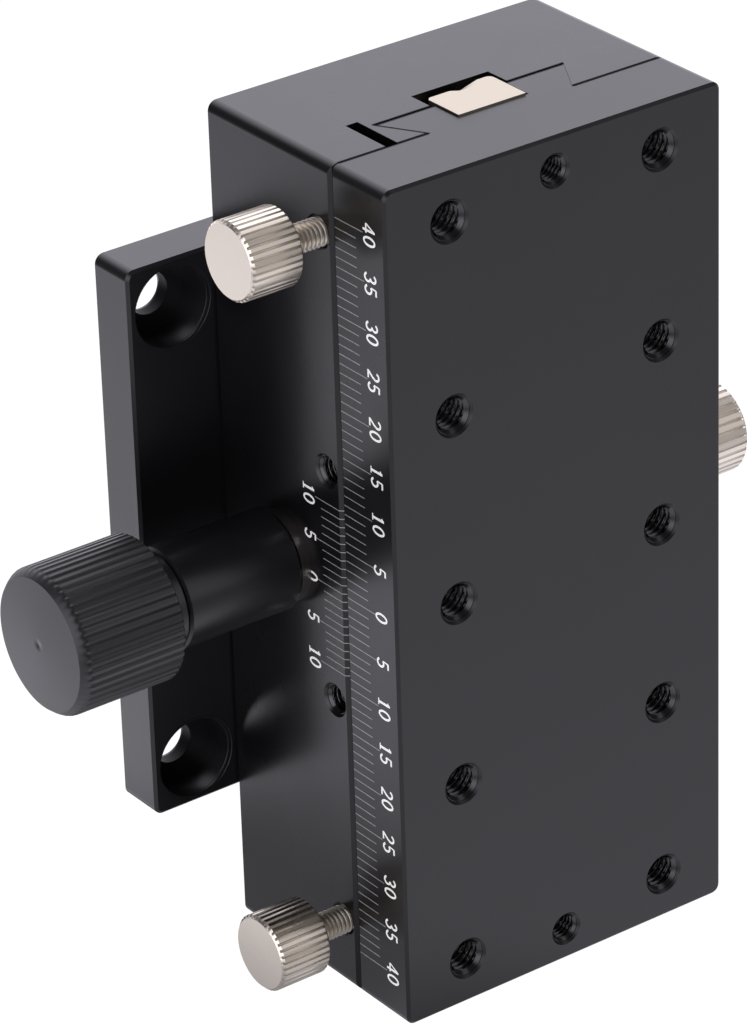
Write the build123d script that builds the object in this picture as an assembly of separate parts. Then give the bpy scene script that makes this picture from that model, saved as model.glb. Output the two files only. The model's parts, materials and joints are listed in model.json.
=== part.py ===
from build123d import *
import math
import os

# Manual linear stage: a dovetail slide driven by a helical rack and pinion.
#
# Frame: the origin is the centre of the mounting plate's back face. +X is right, +Y is back,
# towards whatever the plate is bolted to, and +Z is up, along the travel. The stage is drawn
# at mid travel, where the table is flush with the base. All sizes are in millimetres.

# Blocks: the base stays still and the table slides on it
BLOCK_WIDTH = 40.0
BLOCK_HEIGHT = 90.0
TABLE_THICKNESS = 8.1
BASE_DEPTH = 19.7
SEAM_GAP = 0.2
CORNER_ROUND = 1.0
EDGE_CHAMFER = 0.3
SEAM_CHAMFER = 0.35

# Mounting plate behind the base
PLATE_WIDTH = 60.0
PLATE_HEIGHT = 60.0
PLATE_THICKNESS = 5.7
PLATE_HOLE_INSET = 5.0
PLATE_HOLE_DIAMETER = 4.5
PLATE_COUNTERBORE_DIAMETER = 8.5
PLATE_COUNTERBORE_DEPTH = 4.0
PLATE_SCREW_INSET_X = 7.0
PLATE_SCREW_INSET_Z = 6.0
PLATE_SCREW_LENGTH = 12.0

# Dovetail way and the flexing jaw beside it
DOVETAIL_NECK = 17.2
DOVETAIL_DEPTH = 4.85
DOVETAIL_ANGLE = 60.0
DOVETAIL_CLEARANCE = 0.03
JAW_CLEARANCE = 0.12
DOVETAIL_END_GAP = 0.3
JAW_WEB = 0.65
SLIT_WIDTH = 1.4
SLIT_DEPTH = 6.3

# Helical rack in the table's channel, and the groove that clears it in the base
RACK_WIDTH = 8.0
RACK_THICKNESS = 5.5
RACK_SIDE_GAP = 0.15
RACK_END_SETBACK = 0.4
RACK_PROUD = 0.2
RACK_BACK_ROUND = 0.6
SLIVER_LOSS = 0.5
SLIVER_CORNER = 0.35
SLIVER_LENGTH = 1.5
CHANNEL_WIDTH = 8.5
CHANNEL_DEPTH = 3.45
RACK_GROOVE_WIDTH = 9.2
RACK_GROOVE_DEPTH = 3.0
RACK_SCREW_MARGIN = 3.5
RACK_SCREW_HEAD_DIAMETER = 5.0
RACK_SCREW_HEAD_HEIGHT = 1.8
RACK_SCREW_HEAD_GAP = 0.5
RACK_SCREW_FLOOR = 1.8
RACK_SCREW_THREAD_LENGTH = 5.0

# Teeth
NORMAL_MODULE = 0.5
PINION_TEETH = 15
HELIX_ANGLE = 15.0
PRESSURE_ANGLE = 20.0
ADDENDUM = 0.45
DEDENDUM = 0.6
MESH_CLEARANCE = 0.04
TOOTH_BACKLASH = 0.06
TOOTH_GAP_OFFSET = 0.15
PINION_WIDTH = 8.2
PINION_SECTION_COUNT = 5

# Drive, outwards from the base's left face
DRIVE_HEIGHT = 0.35
BORE_CLEARANCE = 0.07
BUSH_FLANGE_STEP = 0.35
BUSH_FLANGE_THICKNESS = 1.05
BUSH_FLANGE_RELIEF = 0.25
BUSH_SPIGOT_DIAMETER = 8.0
BUSH_END_GAP = 0.15
SLEEVE_DIAMETER = 10.4
SLEEVE_LENGTH = 13.1
SLEEVE_CHAMFER = 0.25
COLLAR_DIAMETER = 10.5
COLLAR_LENGTH = 1.6
COLLAR_GAP = 0.15
WASHER_DIAMETER = 9.0
WASHER_THICKNESS = 0.4
SHAFT_DIAMETER = 5.0
SHAFT_CLEARANCE = 0.03
SHAFT_END_DIAMETER = 4.0
END_BUSH_DIAMETER = 7.0
END_BUSH_LENGTH = 6.0
END_BUSH_GAP = 0.4
KNOB_DIAMETER = 14.9
KNOB_LENGTH = 11.75
KNOB_FACE_DIAMETER = 13.5
KNOB_BEVEL = 0.9
KNOB_BACK_CHAMFER = 0.3
KNOB_CROWN = 0.15
KNOB_DIMPLE_DIAMETER = 0.4
KNOB_BORE_DEPTH = 9.0
KNOB_GROOVE_COUNT = 54
KNOB_GROOVE_DEPTH = 0.28
KNOB_SCREW_LENGTH = 3.5
KNOB_SCREW_ANGLE = 215.0
BUSH_SCREW_LENGTH = 4.0
BUSH_SCREW_OFFSET = 7.5

# Threads, drawn as plain bores and shanks at their nominal size
TABLE_THREAD = 4.0
SMALL_THREAD = 3.0
PLATE_THREAD = 4.0
THREAD_CLEARANCE = 0.05
MOUTH_CHAMFER = 0.25
TABLE_HOLE_SPACING = 25.0
TABLE_HOLE_COUNT = 5
TABLE_HOLE_MARGIN = 5.0

# Screws in the two sides of the base
SIDE_SCREW_INSET = 2.2
SIDE_SCREW_MARGIN = 7.5
JAW_SCREW_LENGTH = 4.0
TIP_GAP = 0.1
CLAMP_HEAD_DIAMETER = 8.0
CLAMP_HEAD_LENGTH = 5.9
CLAMP_STANDOFF = 4.3
CLAMP_GROOVE_COUNT = 38
LOCK_HEIGHT = 1.8
LOCK_HEAD_DIAMETER = 9.6
LOCK_HEAD_LENGTH = 5.6
LOCK_STANDOFF = 2.9
LOCK_GROOVE_COUNT = 36
LOCK_PLUG_LENGTH = 4.6
HEAD_GROOVE_DEPTH = 0.22
HEAD_CHAMFER = 0.3
GROOVE_SHARE = 0.5

# Socket recesses of the screws, as the key's width and the recess depth
PLATE_KEY = 2.5
SMALL_KEY = 1.5
SOCKET_DEPTH = 1.2
COUNTERSUNK_HEAD_DIAMETER = 7.6

# Extra reach of a cutting tool past the face that it opens
OVERCUT = 1.0

# Levels from back to front
PLATE_FRONT = -PLATE_THICKNESS
BASE_FRONT = PLATE_FRONT - BASE_DEPTH
TABLE_BACK = BASE_FRONT - SEAM_GAP
TABLE_FRONT = TABLE_BACK - TABLE_THICKNESS
GROOVE_FLOOR = BASE_FRONT + DOVETAIL_DEPTH
DOVETAIL_BACK = GROOVE_FLOOR - DOVETAIL_END_GAP
CHANNEL_FLOOR = DOVETAIL_BACK - CHANNEL_DEPTH
RACK_GROOVE_FLOOR = GROOVE_FLOOR + RACK_GROOVE_DEPTH
SIDE_SCREW_Y = BASE_FRONT + SIDE_SCREW_INSET

# Heights and sides
TOP = BLOCK_HEIGHT / 2
SIDE = BLOCK_WIDTH / 2
FLANK_SLOPE = math.tan(math.radians(90 - DOVETAIL_ANGLE))
FLANK_SHIFT = DOVETAIL_CLEARANCE / math.sin(math.radians(DOVETAIL_ANGLE))
JAW_SHIFT = JAW_CLEARANCE / math.sin(math.radians(DOVETAIL_ANGLE))
GROOVE_TIP = DOVETAIL_NECK / 2 + DOVETAIL_DEPTH * FLANK_SLOPE
SLIT_INNER = GROOVE_TIP + JAW_WEB
SLIT_OUTER = SLIT_INNER + SLIT_WIDTH
CLAMP_HEIGHT = TOP - SIDE_SCREW_MARGIN
JAW_SCREW_HEIGHT = CLAMP_HEIGHT / 3
RACK_SCREW_HEIGHT = TOP - RACK_SCREW_MARGIN

# Tooth sizes in the plane of rotation
HELIX = math.radians(HELIX_ANGLE)
MODULE = NORMAL_MODULE / math.cos(HELIX)
PITCH = math.pi * MODULE
FLANK_ANGLE = math.atan(math.tan(math.radians(PRESSURE_ANGLE)) / math.cos(HELIX))
PITCH_RADIUS = PINION_TEETH * MODULE / 2
BASE_RADIUS = PITCH_RADIUS * math.cos(FLANK_ANGLE)
TIP_RADIUS = PITCH_RADIUS + ADDENDUM
ROOT_RADIUS = PITCH_RADIUS - DEDENDUM

# Places of the rack and the drive
RACK_CREST = CHANNEL_FLOOR + RACK_THICKNESS
PITCH_PLANE = RACK_CREST - ADDENDUM
RACK_ROOT = PITCH_PLANE - DEDENDUM
RACK_LEFT = -CHANNEL_WIDTH / 2 + RACK_SIDE_GAP
RACK_CENTRE = RACK_LEFT + RACK_WIDTH / 2
RACK_TOP = TOP + RACK_PROUD
RACK_BOTTOM = RACK_END_SETBACK - TOP
AXIS_Y = PITCH_PLANE + PITCH_RADIUS + MESH_CLEARANCE
PINION_LEFT = RACK_CENTRE - PINION_WIDTH / 2
PINION_RIGHT = RACK_CENTRE + PINION_WIDTH / 2
BORE_RADIUS = TIP_RADIUS + BORE_CLEARANCE
BUSH_INNER_END = -RACK_GROOVE_WIDTH / 2 - BUSH_END_GAP
BUSH_FLANGE_END = -SIDE - BUSH_FLANGE_THICKNESS
SLEEVE_START = BUSH_FLANGE_END - BUSH_FLANGE_RELIEF
SLEEVE_END = SLEEVE_START - SLEEVE_LENGTH
COLLAR_START = SLEEVE_END - COLLAR_GAP
COLLAR_END = COLLAR_START - COLLAR_LENGTH
KNOB_BACK = COLLAR_END - WASHER_THICKNESS
KNOB_FACE = KNOB_BACK - KNOB_LENGTH
END_BUSH_START = RACK_GROOVE_WIDTH / 2 + END_BUSH_GAP
END_BUSH_END = END_BUSH_START + END_BUSH_LENGTH
BUSH_SCREW_X = -SIDE + BUSH_SCREW_OFFSET
LEFT_TABLE_COLUMN = -TABLE_HOLE_SPACING / 2


def block(x_low, x_high, y_low, y_high, z_low, z_high):
    """Box between two corners."""
    size = (x_high - x_low, y_high - y_low, z_high - z_low)
    return Pos(x_low, y_low, z_low) * Box(*size, align=(Align.MIN, Align.MIN, Align.MIN))


def rod_x(x_start, x_end, diameter, y, z):
    """Cylinder along X between two stations."""
    low = min(x_start, x_end)
    shape = Cylinder(diameter / 2, abs(x_end - x_start), align=(Align.CENTER, Align.CENTER, Align.MIN))
    return Pos(low, y, z) * Rot(0, 90, 0) * shape


def rod_y(y_start, y_end, diameter, x, z):
    """Cylinder along Y between two levels."""
    low = min(y_start, y_end)
    shape = Cylinder(diameter / 2, abs(y_end - y_start), align=(Align.CENTER, Align.CENTER, Align.MIN))
    return Pos(x, low, z) * Rot(-90, 0, 0) * shape


def turned_x(points, y, z):
    """Solid turned about an axis along X, from (station, radius) points that start and end on the axis."""
    outline = make_face(Polyline(*[(x, radius, 0) for x, radius in points], close=True))
    return Pos(0, y, z) * revolve(outline, axis=Axis.X)


def turned_y(points, x, z):
    """Solid turned about an axis along Y, from (level, radius) points that start and end on the axis."""
    outline = make_face(Polyline(*[(radius, y, 0) for y, radius in points], close=True))
    return Pos(x, 0, z) * revolve(outline, axis=Axis.Y)


def prism_z(points, z_low, z_high):
    """Upright prism on an outline of (x, y) points."""
    outline = make_face(Polyline(*[(x, y, z_low) for x, y in points], close=True))
    return extrude(outline, amount=z_high - z_low, dir=(0, 0, 1))


def mouth_x(face, diameter, y, z, inward):
    """Cutter that chamfers a hole's mouth in a side face; inward is the sign of the hole's direction."""
    wide = diameter / 2 + MOUTH_CHAMFER
    start = face - inward * OVERCUT
    points = [(start, 0), (start, wide), (face, wide), (face + inward * wide, 0)]
    return turned_x(points, y, z)


def mouth_y(face, diameter, x, z):
    """Cutter that chamfers the mouth of a hole that runs back from a front face."""
    wide = diameter / 2 + MOUTH_CHAMFER
    return turned_y([(face - OVERCUT, 0), (face - OVERCUT, wide), (face, wide), (face + wide, 0)], x, z)


def rounded_block(width, height, front, back, front_chamfer, back_chamfer):
    """Block on the Z axis with rounded corners seen from the front and chamfered rims."""
    body = block(-width / 2, width / 2, front, back, -height / 2, height / 2)
    body = fillet(body.edges().filter_by(Axis.Y), CORNER_ROUND)
    body = chamfer(body.faces().sort_by(Axis.Y)[0].edges(), front_chamfer)
    return chamfer(body.faces().sort_by(Axis.Y)[-1].edges(), back_chamfer)


def key_socket_x(face, key, inward, y, z):
    """Hexagonal recess in a screw's end along X."""
    hexagon = extrude(RegularPolygon(key / 2, 6, major_radius=False), amount=SOCKET_DEPTH)
    turn = Rot(0, 90, 0) if inward > 0 else Rot(0, -90, 0)
    return Pos(face, y, z) * turn * hexagon


def key_socket_y(face, key, x, z):
    """Hexagonal recess cut forwards from a screw's back end along Y."""
    hexagon = extrude(RegularPolygon(key / 2, 6, major_radius=False), amount=SOCKET_DEPTH)
    return Pos(x, face, z) * Rot(90, 0, 0) * hexagon


def dovetail_outline(front, back, left_shift, right_shift):
    """Outline of the way between two levels, with its flanks moved inwards by the two shifts."""
    half_front = DOVETAIL_NECK / 2 + (front - BASE_FRONT) * FLANK_SLOPE
    half_back = DOVETAIL_NECK / 2 + (back - BASE_FRONT) * FLANK_SLOPE
    return [(left_shift - half_front, front), (half_front - right_shift, front),
            (half_back - right_shift, back), (left_shift - half_back, back)]


def seam_edge_cutter(level, inward):
    """Cutter that chamfers a block's two upright edges beside the seam; inward is the sign of its body."""
    near = SIDE - SEAM_CHAMFER - OVERCUT
    far = SIDE + OVERCUT
    start = level - inward * OVERCUT
    end = level + inward * (SEAM_CHAMFER + OVERCUT)
    reach = TOP + OVERCUT
    right = prism_z([(near, start), (far, start), (far, end)], -reach, reach)
    left = prism_z([(-near, start), (-far, start), (-far, end)], -reach, reach)
    return right + left


def way_cutter():
    """Space of the base's dovetail groove, open at the front, the top and the bottom."""
    reach = TOP + OVERCUT
    groove = prism_z(dovetail_outline(BASE_FRONT, GROOVE_FLOOR, 0, 0), -reach, reach)
    half = DOVETAIL_NECK / 2
    return groove + block(-half, half, BASE_FRONT - OVERCUT, BASE_FRONT, -reach, reach)


def make_base_body():
    """Base block with the dovetail groove, the flexing jaw, the rack groove and the cross bores."""
    reach = TOP + OVERCUT
    body = block(-SIDE, SIDE, BASE_FRONT, PLATE_FRONT, -TOP, TOP)
    body = fillet(body.edges().filter_by(Axis.Y), CORNER_ROUND)
    body = chamfer(body.faces().sort_by(Axis.Y)[-1].edges(), EDGE_CHAMFER)
    body -= seam_edge_cutter(BASE_FRONT, 1)
    body -= way_cutter()
    half_groove = RACK_GROOVE_WIDTH / 2
    body -= block(-half_groove, half_groove, BASE_FRONT, RACK_GROOVE_FLOOR, -reach, reach)
    slit_end = BASE_FRONT + SLIT_DEPTH
    body -= block(-SLIT_OUTER, -SLIT_INNER, BASE_FRONT - OVERCUT, slit_end, -reach, reach)
    body -= rod_x(-SIDE - OVERCUT, half_groove, 2 * BORE_RADIUS, AXIS_Y, DRIVE_HEIGHT)
    body -= rod_x(half_groove - OVERCUT, END_BUSH_END, END_BUSH_DIAMETER, AXIS_Y, DRIVE_HEIGHT)
    hole = SMALL_THREAD + 2 * THREAD_CLEARANCE
    for height in (CLAMP_HEIGHT, JAW_SCREW_HEIGHT, -JAW_SCREW_HEIGHT, -CLAMP_HEIGHT):
        body -= rod_x(-SIDE - OVERCUT, -SLIT_OUTER + OVERCUT, hole, SIDE_SCREW_Y, height)
        body -= mouth_x(-SIDE, hole, SIDE_SCREW_Y, height, 1)
    body -= rod_x(DOVETAIL_NECK / 2, SIDE + OVERCUT, hole, SIDE_SCREW_Y, LOCK_HEIGHT)
    body -= mouth_x(SIDE, hole, SIDE_SCREW_Y, LOCK_HEIGHT, -1)
    body -= rod_y(AXIS_Y, PLATE_FRONT + OVERCUT, hole, BUSH_SCREW_X, DRIVE_HEIGHT)
    depth = PLATE_SCREW_LENGTH - PLATE_THICKNESS + OVERCUT
    for x, z in plate_screw_places():
        tapped = PLATE_THREAD + 2 * THREAD_CLEARANCE
        body -= rod_y(PLATE_FRONT - depth, PLATE_FRONT + OVERCUT, tapped, x, z)
    return body


def plate_screw_places():
    """Centres of the four screws that hold the plate to the base."""
    x = SIDE - PLATE_SCREW_INSET_X
    z = PLATE_HEIGHT / 2 - PLATE_SCREW_INSET_Z
    return [(sx * x, sz * z) for sx in (-1, 1) for sz in (-1, 1)]


def plate_hole_places():
    """Centres of the four counterbored mounting holes."""
    x = PLATE_WIDTH / 2 - PLATE_HOLE_INSET
    z = PLATE_HEIGHT / 2 - PLATE_HOLE_INSET
    return [(sx * x, sz * z) for sx in (-1, 1) for sz in (-1, 1)]


def make_mounting_plate():
    """Square plate with counterbored holes from the front and countersunk holes from the back."""
    plate = rounded_block(PLATE_WIDTH, PLATE_HEIGHT, PLATE_FRONT, 0, EDGE_CHAMFER, EDGE_CHAMFER)
    counterbore_floor = PLATE_FRONT + PLATE_COUNTERBORE_DEPTH
    for x, z in plate_hole_places():
        plate -= rod_y(PLATE_FRONT - OVERCUT, OVERCUT, PLATE_HOLE_DIAMETER, x, z)
        plate -= rod_y(PLATE_FRONT - OVERCUT, counterbore_floor, PLATE_COUNTERBORE_DIAMETER, x, z)
    for x, z in plate_screw_places():
        plate -= plate_screw_blank(x, z, THREAD_CLEARANCE)
    return plate


def plate_screw_blank(x, z, clearance):
    """Countersunk screw, its head flush with the plate's back, grown by a clearance."""
    head = COUNTERSUNK_HEAD_DIAMETER / 2 + clearance
    shank = PLATE_THREAD / 2 + clearance
    cone_end = -(head - shank)
    return turned_y([(0, 0), (0, head), (cone_end, shank), (-PLATE_SCREW_LENGTH, shank),
                     (-PLATE_SCREW_LENGTH, 0)], x, z)


def make_plate_screws():
    """Four countersunk socket screws from the plate into the base."""
    screws = []
    for x, z in plate_screw_places():
        screw = plate_screw_blank(x, z, 0)
        screws.append(screw - key_socket_y(0, PLATE_KEY, x, z))
    return screws


def make_table():
    """Sliding table: front plate with tapped holes, male dovetail and the rack channel."""
    table = block(-SIDE, SIDE, TABLE_FRONT, TABLE_BACK, -TOP, TOP)
    table = fillet(table.edges().filter_by(Axis.Y), CORNER_ROUND)
    table = chamfer(table.faces().sort_by(Axis.Y)[0].edges(), EDGE_CHAMFER)
    table -= seam_edge_cutter(TABLE_BACK, -1)
    table += prism_z(dovetail_outline(TABLE_BACK, DOVETAIL_BACK, JAW_SHIFT, FLANK_SHIFT), -TOP, TOP)
    reach = TOP + OVERCUT
    half_channel = CHANNEL_WIDTH / 2
    table -= block(-half_channel, half_channel, CHANNEL_FLOOR, DOVETAIL_BACK + OVERCUT, -reach, reach)
    for x, z in table_hole_places():
        table -= rod_y(TABLE_FRONT - OVERCUT, TABLE_BACK + OVERCUT, TABLE_THREAD, x, z)
        table -= mouth_y(TABLE_FRONT, TABLE_THREAD, x, z)
    hole = SMALL_THREAD + 2 * THREAD_CLEARANCE
    for z in (-RACK_SCREW_HEIGHT, RACK_SCREW_HEIGHT):
        table -= rod_y(TABLE_FRONT - OVERCUT, CHANNEL_FLOOR + OVERCUT, hole, RACK_CENTRE, z)
        table -= mouth_y(TABLE_FRONT, hole, RACK_CENTRE, z)
    return table


def table_hole_places():
    """Centres of the tapped holes in the table, two columns of evenly spaced rows."""
    top_row = TOP - TABLE_HOLE_MARGIN
    pitch = 2 * top_row / (TABLE_HOLE_COUNT - 1)
    rows = [top_row - pitch * k for k in range(TABLE_HOLE_COUNT)]
    return [(x, z) for x in (LEFT_TABLE_COLUMN, -LEFT_TABLE_COLUMN) for z in rows]


def rack_outline(z_low, z_high):
    """Outline of the toothed bar in the plane of its left side, as (y, z) points, teeth to the back."""
    first_gap = RACK_TOP + (RACK_LEFT - TOOTH_GAP_OFFSET) * math.tan(HELIX)
    slope = math.tan(FLANK_ANGLE)
    crest_half = PITCH / 4 + ADDENDUM * slope
    root_half = PITCH / 4 - DEDENDUM * slope
    count_up = math.ceil((z_high - first_gap) / PITCH)
    count_down = math.ceil((first_gap - z_low) / PITCH)
    points = [(CHANNEL_FLOOR, first_gap - (count_down + 0.5) * PITCH)]
    points.append((RACK_CREST, points[0][1]))
    for k in range(-count_down, count_up + 1):
        gap = first_gap + k * PITCH
        points.append((RACK_CREST, gap - crest_half))
        points.append((RACK_ROOT, gap - root_half))
        points.append((RACK_ROOT, gap + root_half))
        points.append((RACK_CREST, gap + crest_half))
    end = first_gap + (count_up + 0.5) * PITCH
    points.append((RACK_CREST, end))
    points.append((CHANNEL_FLOOR, end))
    return points


def sliver_cutter():
    """Cutter for the thin end of the tooth that the rack's upper end cuts through, which is broken off."""
    level = RACK_CREST - SLIVER_LOSS
    left = RACK_LEFT - OVERCUT
    corner = RACK_LEFT + SLIVER_CORNER
    back = RACK_CREST + OVERCUT
    outline = [(left, level - SLIVER_CORNER - OVERCUT), (corner, level), (TOOTH_GAP_OFFSET, level),
               (TOOTH_GAP_OFFSET, back), (left, back)]
    return prism_z(outline, RACK_TOP - SLIVER_LENGTH, RACK_TOP + OVERCUT)


def make_rack():
    """Helical rack: the toothed outline drawn across the bar along the helix, trimmed to length."""
    rise = RACK_WIDTH * math.tan(HELIX)
    points = rack_outline(RACK_BOTTOM - rise, RACK_TOP)
    side = make_face(Polyline(*[(RACK_LEFT, y, z) for y, z in points], close=True))
    bar = extrude(side, amount=math.hypot(RACK_WIDTH, rise), dir=(RACK_WIDTH, 0, rise))
    room = block(RACK_LEFT, RACK_LEFT + RACK_WIDTH, CHANNEL_FLOOR, RACK_CREST, RACK_BOTTOM, RACK_TOP)
    room = fillet(room.faces().sort_by(Axis.Y)[-1].edges().filter_by(Axis.Z), RACK_BACK_ROUND)
    rack = bar & room
    rack -= sliver_cutter()
    head_seat = CHANNEL_FLOOR + RACK_SCREW_FLOOR
    for z in (-RACK_SCREW_HEIGHT, RACK_SCREW_HEIGHT):
        hole = SMALL_THREAD + 2 * THREAD_CLEARANCE
        counterbore = RACK_SCREW_HEAD_DIAMETER + RACK_SCREW_HEAD_GAP
        rack -= rod_y(CHANNEL_FLOOR - OVERCUT, RACK_CREST, hole, RACK_CENTRE, z)
        rack -= rod_y(head_seat, RACK_CREST + OVERCUT, counterbore, RACK_CENTRE, z)
    return rack


def make_rack_screws():
    """Two low-head screws that hold the rack, driven from the toothed side."""
    seat = CHANNEL_FLOOR + RACK_SCREW_FLOOR
    top = seat + RACK_SCREW_HEAD_HEIGHT
    head = RACK_SCREW_HEAD_DIAMETER / 2
    shank = SMALL_THREAD / 2
    tip = CHANNEL_FLOOR - RACK_SCREW_THREAD_LENGTH
    screws = []
    for z in (-RACK_SCREW_HEIGHT, RACK_SCREW_HEIGHT):
        outline = [(top, 0), (top, head), (seat, head), (seat, shank), (tip, shank), (tip, 0)]
        screw = turned_y(outline, RACK_CENTRE, z)
        screws.append(screw - key_socket_y(top, PLATE_KEY, RACK_CENTRE, z))
    return screws


def involute_angle(radius):
    """Polar angle of the involute flank at a radius, from its start on the base circle."""
    if radius <= BASE_RADIUS:
        return 0.0
    roll = math.sqrt((radius / BASE_RADIUS) ** 2 - 1)
    return roll - math.atan(roll)


def pinion_ring(x, turn):
    """Points of the toothed section at a station, turned by an angle about the drive axis."""
    half_pitch_angle = (PITCH / 2 - TOOTH_BACKLASH) / (2 * PITCH_RADIUS)
    tooth_half = half_pitch_angle + involute_angle(PITCH_RADIUS)
    radii = [ROOT_RADIUS, PITCH_RADIUS, TIP_RADIUS]
    points = []
    for tooth in range(PINION_TEETH):
        centre = turn + 2 * math.pi * tooth / PINION_TEETH
        rising = [(r, centre - tooth_half + involute_angle(r)) for r in radii]
        falling = [(r, centre + tooth_half - involute_angle(r)) for r in reversed(radii)]
        for radius, angle in rising + falling:
            y = AXIS_Y + radius * math.cos(angle)
            z = DRIVE_HEIGHT + radius * math.sin(angle)
            points.append(Vector(x, y, z))
    return points


def flat_face(*corners):
    """Flat face between corners given in order."""
    return Face(Wire.make_polygon(corners, close=True))


def make_pinion_teeth():
    """Helical teeth in mesh with the rack: turned sections along the axis, joined by narrow flat facets."""
    gap_at_centre = RACK_TOP + (RACK_CENTRE - TOOTH_GAP_OFFSET) * math.tan(HELIX)
    above_axis = gap_at_centre - DRIVE_HEIGHT
    gap_height = above_axis - PITCH * round(above_axis / PITCH)
    facing_rack = math.pi - gap_height / PITCH_RADIUS
    twist = -math.tan(HELIX) / PITCH_RADIUS
    rings = []
    for k in range(PINION_SECTION_COUNT + 1):
        x = PINION_LEFT + PINION_WIDTH * k / PINION_SECTION_COUNT
        rings.append(pinion_ring(x, facing_rack + (x - RACK_CENTRE) * twist))
    faces = [flat_face(*rings[0]), flat_face(*rings[-1])]
    for near, far in zip(rings, rings[1:]):
        for i in range(len(near)):
            before = i - 1
            faces.append(flat_face(near[before], near[i], far[i]))
            faces.append(flat_face(near[before], far[i], far[before]))
    return Solid(Shell(faces))


def make_pinion_shaft():
    """Drive shaft with its pinion in one piece, a knob seat outside and a journal inside."""
    journal = rod_x(KNOB_BACK, PINION_LEFT, SHAFT_DIAMETER, AXIS_Y, DRIVE_HEIGHT)
    knob_seat = rod_x(KNOB_BACK - KNOB_BORE_DEPTH, KNOB_BACK, SHAFT_END_DIAMETER, AXIS_Y, DRIVE_HEIGHT)
    end_journal = rod_x(PINION_RIGHT, END_BUSH_END, SHAFT_END_DIAMETER, AXIS_Y, DRIVE_HEIGHT)
    return make_pinion_teeth() + journal + knob_seat + end_journal


def make_drive_bush():
    """Flanged bush that carries the shaft: its body is in the base and its spigot in the sleeve."""
    flange = BORE_RADIUS + BUSH_FLANGE_STEP
    spigot = BUSH_SPIGOT_DIAMETER / 2
    bush = turned_x([(BUSH_INNER_END, 0), (BUSH_INNER_END, BORE_RADIUS), (-SIDE, BORE_RADIUS),
                     (-SIDE, flange), (BUSH_FLANGE_END, flange), (BUSH_FLANGE_END, spigot),
                     (SLEEVE_END, spigot), (SLEEVE_END, 0)], AXIS_Y, DRIVE_HEIGHT)
    bore = SHAFT_DIAMETER + 2 * SHAFT_CLEARANCE
    return bush - rod_x(SLEEVE_END - OVERCUT, BUSH_INNER_END + OVERCUT, bore, AXIS_Y, DRIVE_HEIGHT)


def make_end_bush():
    """Plain bush for the shaft's inner journal, in a blind bore."""
    bush = rod_x(END_BUSH_START, END_BUSH_END, END_BUSH_DIAMETER, AXIS_Y, DRIVE_HEIGHT)
    bore = SHAFT_END_DIAMETER + 2 * SHAFT_CLEARANCE
    return bush - rod_x(END_BUSH_START - OVERCUT, END_BUSH_END + OVERCUT, bore, AXIS_Y, DRIVE_HEIGHT)


def make_drive_sleeve():
    """Black tube over the bush's spigot."""
    radius = SLEEVE_DIAMETER / 2
    inner_end = SLEEVE_START
    cut = SLEEVE_CHAMFER
    sleeve = turned_x([(inner_end, 0), (inner_end, radius - cut), (inner_end - cut, radius),
                       (SLEEVE_END + cut, radius), (SLEEVE_END, radius - cut), (SLEEVE_END, 0)],
                      AXIS_Y, DRIVE_HEIGHT)
    return sleeve - rod_x(SLEEVE_END - OVERCUT, inner_end + OVERCUT, BUSH_SPIGOT_DIAMETER,
                          AXIS_Y, DRIVE_HEIGHT)


def make_thrust_collar():
    """Thin collar on the shaft that runs against the sleeve's end."""
    radius = COLLAR_DIAMETER / 2
    cut = SLEEVE_CHAMFER
    collar = turned_x([(COLLAR_START, 0), (COLLAR_START, radius - cut), (COLLAR_START - cut, radius),
                       (COLLAR_END + cut, radius), (COLLAR_END, radius - cut), (COLLAR_END, 0)],
                      AXIS_Y, DRIVE_HEIGHT)
    return collar - rod_x(COLLAR_END - OVERCUT, COLLAR_START + OVERCUT, SHAFT_DIAMETER,
                          AXIS_Y, DRIVE_HEIGHT)


def make_drag_washer():
    """Friction washer between the collar and the knob."""
    washer = rod_x(KNOB_BACK, COLLAR_END, WASHER_DIAMETER, AXIS_Y, DRIVE_HEIGHT)
    return washer - rod_x(KNOB_BACK - OVERCUT, COLLAR_END + OVERCUT, SHAFT_DIAMETER, AXIS_Y, DRIVE_HEIGHT)


def knurled_barrel(x_start, x_end, diameter, grooves, depth, y, z):
    """Barrel along X with straight V grooves; a share of each pitch is groove and the rest is land."""
    crest = diameter / 2
    step = 2 * math.pi / grooves
    points = []
    for k in range(grooves):
        middle = k * step
        half_groove = step * GROOVE_SHARE / 2
        for radius, angle in ((crest, middle - half_groove), (crest - depth, middle),
                              (crest, middle + half_groove)):
            points.append((min(x_start, x_end), radius * math.cos(angle), radius * math.sin(angle)))
    outline = make_face(Polyline(*points, close=True))
    return Pos(0, y, z) * extrude(outline, amount=abs(x_end - x_start), dir=(1, 0, 0))


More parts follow.
